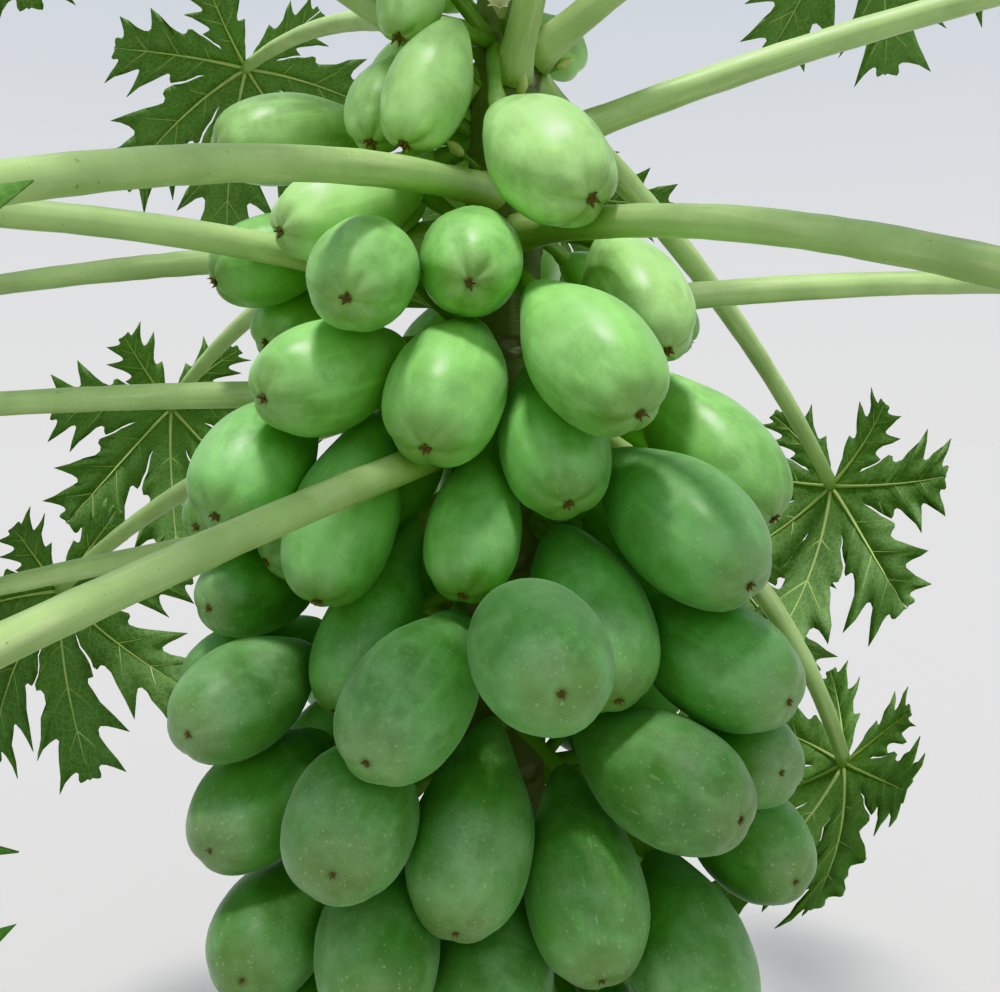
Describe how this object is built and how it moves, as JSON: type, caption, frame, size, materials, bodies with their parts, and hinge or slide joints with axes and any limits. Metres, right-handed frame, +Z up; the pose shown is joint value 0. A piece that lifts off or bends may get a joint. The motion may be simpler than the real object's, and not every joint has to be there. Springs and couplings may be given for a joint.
{
  "type": "papaya tree",
  "caption": "Papaya tree in full bearing: a straight trunk under a dense column of hanging green fruit, with long-stalked lobed leaves between and above them.",
  "frame": {"origin": "middle of the trunk's flat cut at ground level", "axes": "+Z up along the trunk; -Y is the side that the picture shows, with +X to its right"},
  "size_m": [2.1987, 1.9823, 2.5686],
  "materials": {
    "bark": "grey-green bark with leaf scars",
    "leaf": "dark green, satin, pale ribs",
    "young_leaf": "fresh yellow-green, satin",
    "fruit": "green waxy skin with a faint bloom and pale specks"
  },
  "bodies": {
    "root": {"trunk": "bark", "leaf_01": "leaf", "leaf_02": "leaf", "leaf_03": "leaf", "leaf_04": "leaf", "leaf_05": "leaf", "leaf_06": "leaf", "leaf_07": "leaf", "leaf_08": "leaf", "leaf_09": "leaf", "leaf_10": "leaf", "leaf_11": "leaf", "leaf_12": "leaf", "leaf_13": "leaf", "leaf_14": "leaf", "leaf_15": "leaf", "leaf_16": "leaf", "leaf_17": "leaf", "leaf_18": "leaf", "leaf_19": "leaf", "leaf_20": "leaf", "leaf_21": "leaf", "leaf_22": "leaf", "leaf_23": "leaf", "leaf_24": "leaf", "leaf_25": "leaf", "leaf_26": "leaf", "leaf_27": "leaf", "growing_tip": "young_leaf", "fruit_bunch_01": "fruit", "fruit_bunch_02": "fruit", "fruit_bunch_03": "fruit", "fruit_bunch_04": "fruit", "fruit_bunch_05": "fruit", "fruit_bunch_06": "fruit", "fruit_bunch_07": "fruit", "fruit_bunch_08": "fruit", "fruit_bunch_09": "fruit", "fruit_bunch_10": "fruit", "fruit_bunch_11": "fruit", "fruit_bunch_12": "fruit", "fruit_bunch_13": "fruit", "fruit_bunch_14": "fruit", "fruit_bunch_15": "fruit", "fruit_bunch_16": "fruit", "fruit_bunch_17": "fruit", "fruit_bunch_18": "fruit", "fruit_bunch_19": "fruit", "fruit_bunch_20": "fruit", "fruit_bunch_21": "fruit", "fruit_bunch_22": "fruit", "fruit_bunch_23": "fruit", "fruit_bunch_24": "fruit", "fruit_bunch_25": "fruit", "fruit_bunch_26": "fruit", "fruit_bunch_27": "fruit", "fruit_bunch_28": "fruit", "fruit_bunch_29": "fruit"}
  },
  "joints": []
}
